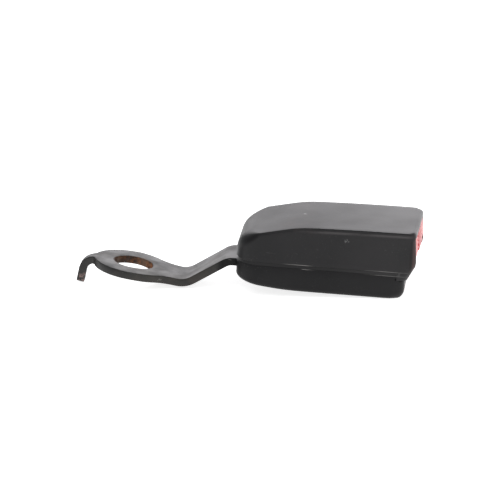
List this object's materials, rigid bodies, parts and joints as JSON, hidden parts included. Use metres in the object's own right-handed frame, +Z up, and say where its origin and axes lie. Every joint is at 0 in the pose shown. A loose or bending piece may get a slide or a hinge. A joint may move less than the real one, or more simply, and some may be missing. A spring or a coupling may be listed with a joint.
{
  "type": "seat belt buckle",
  "caption": "Seat belt buckle with a press button release, a latch and ejector inside its plastic covers, and a cranked steel anchor plate with an anti-rotation hook.",
  "frame": {"origin": "centre of the anchor plate's bolt hole, at the middle of the plate's thickness", "axes": "+X from the bolt hole along the buckle to the button and tongue mouth, +Y across the buckle, +Z up out of the buckle's long top face, which is level within a degree; the anchor eye leans 7 degrees nose down"},
  "size_m": [0.131, 0.038, 0.0346],
  "materials": {
    "cover_plastic": "moulded black plastic with a fine grain",
    "lower_cover_plastic": "moulded black plastic with a fine grain",
    "guide_plastic": "smooth moulded black plastic",
    "button_plastic": "semi-gloss red plastic",
    "ejector_plastic": "natural acetal plastic",
    "anchor_steel": "dull black coating worn to grey, rust in the hole",
    "frame_steel": "zinc plated pressed steel",
    "latch_steel": "hardened plated steel",
    "pin_steel": "bright steel",
    "spring_steel": "drawn spring steel",
    "pad_rubber": "dull rubber"
  },
  "bodies": {
    "housing": {"anchor_plate": "anchor_steel", "buckle_frame": "frame_steel", "frame_bridge": "frame_steel", "frame_rivet_left": "pin_steel", "frame_rivet_right": "pin_steel", "upper_cover": "cover_plastic", "lower_cover": "lower_cover_plastic", "tongue_guide": "guide_plastic", "latch_pivot_pin": "pin_steel", "pivot_clip": "pin_steel", "latch_spring": "spring_steel", "leaf_rivet": "pin_steel", "spring_seat": "frame_steel", "ejector_spring": "spring_steel", "button_spring_left": "spring_steel", "button_spring_right": "spring_steel", "rattle_pad_left": "pad_rubber", "rattle_pad_right": "pad_rubber"},
    "button": {"release_button": "button_plastic"},
    "bar": {"release_bar": "pin_steel"},
    "latch": {"latch_plate": "latch_steel"},
    "ejector": {"ejector": "ejector_plastic"}
  },
  "joints": [
    {"name": "button_press", "type": "slide", "parent": "housing", "child": "button", "axis": [-1, 0, 0], "range_m": [0, 0.0055], "stiffness_N_per_m": 2400, "springref_m": -0.002, "deforming": ["button_spring_left", "button_spring_right"]},
    {"name": "bar_slide", "type": "slide", "parent": "housing", "child": "bar", "axis": [-1, 0, 0], "range_m": [0, 0.0055]},
    {"name": "latch_lift", "type": "hinge", "parent": "housing", "child": "latch", "pos_m": [0.0605, 0, 0.0174], "axis": [0, -1, 0], "range_deg": [0, 8.01], "deforming": ["latch_spring"]},
    {"name": "ejector_slide", "type": "slide", "parent": "housing", "child": "ejector", "axis": [-1, 0, 0], "range_m": [0, 0.014], "stiffness_N_per_m": 500, "springref_m": -0.006, "deforming": ["ejector_spring"]}
  ],
  "couplings": [
    {"joint": "bar_slide", "follows": "button_press", "ratio": 1},
    {"joint": "latch_lift", "follows": "button_press", "rad_per_m": 25.387}
  ]
}
